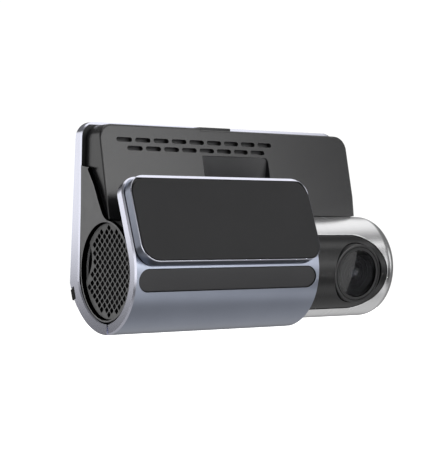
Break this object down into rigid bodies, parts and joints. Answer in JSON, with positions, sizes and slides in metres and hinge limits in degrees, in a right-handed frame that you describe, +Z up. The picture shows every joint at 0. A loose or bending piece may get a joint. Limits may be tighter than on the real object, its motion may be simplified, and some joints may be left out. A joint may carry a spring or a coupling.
{
  "type": "dash camera",
  "caption": "Windscreen dash camera: barrel body with rear display and pitching lens module, hinged in a wrap-round bracket with an adhesive mount base.",
  "frame": {"origin": "centre of the adhesive pad's outer face, where the camera is stuck to the windscreen", "axes": "+X along the barrel towards the lens module, +Y towards the driver, +Z up"},
  "size_m": [0.115, 0.051, 0.0725],
  "materials": {
    "frame_blue": "satin anodised silver-blue",
    "housing_grey": "fine matte texture, dark grey",
    "cap_grey": "fine matte texture, mid grey",
    "black_plastic": "matte black",
    "pad_foam": "smooth dark foam tape",
    "strip_black": "semi-gloss near-black",
    "brushed_silver": "brushed round the barrel",
    "lens_glass": "coated lens glass",
    "screen_black": "black-backed cover glass",
    "display_grey": "satin grey",
    "board_green": "green solder mask",
    "steel": "satin",
    "heatsink_black": "black anodised",
    "capacitor_sleeve": "shrink sleeve",
    "ceramic": "unglazed ceramic",
    "cone_paper": "pressed paper",
    "rubber_black": "matte",
    "ribbon_amber": "polyimide film",
    "nylon": "natural"
  },
  "bodies": {
    "bracket": {"bracket_shell": "frame_blue", "mount_base": "frame_blue", "adhesive_pad": "pad_foam", "trim_strip": "strip_black", "base_screw_1": "steel", "base_screw_2": "steel", "base_screw_3": "steel", "base_screw_4": "steel", "hinge_pin": "steel", "friction_washer_left": "nylon", "friction_washer_right": "nylon"},
    "camera_body": {"barrel_core": "black_plastic", "rear_frame": "frame_blue", "frame_screw_1": "steel", "frame_screw_2": "steel", "front_housing": "housing_grey", "vent_baffle": "housing_grey", "end_cap": "cap_grey", "speaker_grille": "cap_grey", "speaker_gasket": "rubber_black", "speaker_basket": "steel", "speaker_cone": "cone_paper", "speaker_magnet": "steel", "screen_glass": "screen_black", "lcd_panel": "display_grey", "display_ribbon": "ribbon_amber", "main_board": "board_green", "shield_can": "steel", "microphone": "steel", "modem_module": "steel", "heat_sink": "heatsink_black", "supercapacitor_1": "capacitor_sleeve", "supercapacitor_2": "capacitor_sleeve", "usb_socket": "steel", "gnss_antenna": "ceramic", "card_socket": "steel", "key_strip": "black_plastic", "key_board": "board_green"},
    "lens_module": {"lens_housing": "brushed_silver", "window_cover": "strip_black", "lens_bezel": "black_plastic", "front_lens": "lens_glass", "lens_barrel": "black_plastic", "inner_lens_front": "lens_glass", "inner_lens_rear": "lens_glass", "lens_holder": "black_plastic", "image_sensor": "display_grey", "sensor_board": "board_green", "module_journal": "black_plastic", "friction_o_ring": "rubber_black", "retaining_ring": "steel"},
    "memory_card": {"memory_card": "black_plastic"},
    "top_key": {"top_key": "housing_grey"},
    "menu_key": {"menu_key": "housing_grey"},
    "up_key": {"up_key": "housing_grey"},
    "down_key": {"down_key": "housing_grey"},
    "ok_key": {"ok_key": "housing_grey"}
  },
  "joints": [
    {"name": "body_tilt", "type": "hinge", "parent": "bracket", "child": "camera_body", "pos_m": [0, 0.02085, -0.01796], "axis": [1, 0, 0], "range_deg": [0, 13]},
    {"name": "lens_pitch", "type": "hinge", "parent": "camera_body", "child": "lens_module", "pos_m": [0.05825, 0.02085, -0.01796], "axis": [1, 0, 0], "range_deg": [-40, 30]},
    {"name": "card_slide", "type": "slide", "parent": "camera_body", "child": "memory_card", "axis": [1, 0, 0], "range_m": [0, 0.012]},
    {"name": "top_key_press", "type": "slide", "parent": "camera_body", "child": "top_key", "axis": [0, 0, -1], "range_m": [0, 0.0006], "stiffness_N_per_m": 400},
    {"name": "menu_key_press", "type": "slide", "parent": "camera_body", "child": "menu_key", "axis": [0, -0.9367, 0.3502], "range_m": [0, 0.0005], "stiffness_N_per_m": 400},
    {"name": "up_key_press", "type": "slide", "parent": "camera_body", "child": "up_key", "axis": [0, -0.9367, 0.3502], "range_m": [0, 0.0005], "stiffness_N_per_m": 400},
    {"name": "down_key_press", "type": "slide", "parent": "camera_body", "child": "down_key", "axis": [0, -0.9367, 0.3502], "range_m": [0, 0.0005], "stiffness_N_per_m": 400},
    {"name": "ok_key_press", "type": "slide", "parent": "camera_body", "child": "ok_key", "axis": [0, -0.9367, 0.3502], "range_m": [0, 0.0005], "stiffness_N_per_m": 400}
  ]
}
